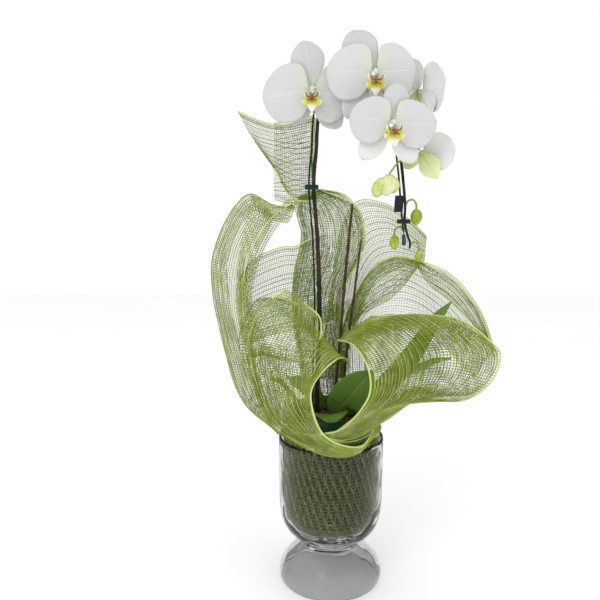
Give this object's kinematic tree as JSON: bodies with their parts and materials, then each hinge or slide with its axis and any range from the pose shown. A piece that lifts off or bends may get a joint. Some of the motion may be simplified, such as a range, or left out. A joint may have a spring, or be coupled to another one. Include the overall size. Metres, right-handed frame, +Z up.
{
  "type": "orchid in vase",
  "caption": "White moth orchid on an arched spike in a footed clear glass vase, its pot lined and wrapped with big loops of light green decorative mesh ribbon.",
  "frame": {"origin": "centre of the object's bounding box in x and y, at the level of the foot's underside; the vase's axis is at x -0.036, y -0.001", "axes": "+Z up, the front with the two ribbon openings faces -Y, +X to the right seen from the front"},
  "size_m": [0.3855, 0.2197, 0.7024],
  "materials": {
    "clear_glass": "clear polished glass",
    "pot_plastic": "dark green moulded plastic",
    "bark": "loose bark chips",
    "ribbon_mesh": "light green plastic net with thin gold threads",
    "leaf_green": "waxy living leaf",
    "spike_brown": "dark living stem",
    "stick_brown": "brown stained stick",
    "wire_dark": "dark coated wire",
    "cap_rubber": "teal rubber",
    "clip_plastic": "dark teal plastic",
    "tag_plastic": "navy plastic",
    "petal_white": "soft living petal",
    "lip_yellow": "waxy living petal",
    "bud_green": "waxy living bud",
    "bud_pale": "waxy living bud"
  },
  "bodies": {
    "root": {"bud_half_open": "bud_pale", "bud_lower": "bud_green", "bud_middle": "bud_green", "bud_upper": "bud_green", "clip_high": "clip_plastic", "clip_low": "clip_plastic", "flower_1_lip": "lip_yellow", "flower_1_petal_left": "petal_white", "flower_1_petal_right": "petal_white", "flower_1_sepal_left": "petal_white", "flower_1_sepal_right": "petal_white", "flower_1_sepal_top": "petal_white", "flower_2_lip": "lip_yellow", "flower_2_petal_left": "petal_white", "flower_2_petal_right": "petal_white", "flower_2_sepal_left": "petal_white", "flower_2_sepal_right": "petal_white", "flower_2_sepal_top": "petal_white", "flower_3_lip": "lip_yellow", "flower_3_petal_left": "petal_white", "flower_3_petal_right": "petal_white", "flower_3_sepal_left": "petal_white", "flower_3_sepal_right": "petal_white", "flower_3_sepal_top": "petal_white", "flower_4_lip": "lip_yellow", "flower_4_petal_left": "petal_white", "flower_4_petal_right": "petal_white", "flower_4_sepal_left": "petal_white", "flower_4_sepal_right": "petal_white", "flower_4_sepal_top": "petal_white", "flower_5_lip": "lip_yellow", "flower_5_petal_left": "petal_white", "flower_5_petal_right": "petal_white", "flower_5_sepal_left": "petal_white", "flower_5_sepal_right": "petal_white", "flower_5_sepal_top": "petal_white", "flower_spike": "spike_brown", "glass_vase": "clear_glass", "leaf_back": "leaf_green", "leaf_front": "leaf_green", "leaf_left": "leaf_green", "leaf_low_front": "leaf_green", "leaf_right_long": "leaf_green", "leaf_right_low": "leaf_green", "mesh_back_end": "ribbon_mesh", "mesh_back_loop": "ribbon_mesh", "mesh_left_horn": "ribbon_mesh", "mesh_left_inner": "ribbon_mesh", "mesh_left_loop": "ribbon_mesh", "mesh_liner": "ribbon_mesh", "mesh_right_horn": "ribbon_mesh", "mesh_right_loop": "ribbon_mesh", "mesh_tail": "ribbon_mesh", "nursery_pot": "pot_plastic", "potting_bark": "bark", "stick_short": "stick_brown", "stick_tall": "stick_brown", "support_wire": "wire_dark", "tag_clip": "tag_plastic", "wire_cap": "cap_rubber"}
  },
  "joints": []
}
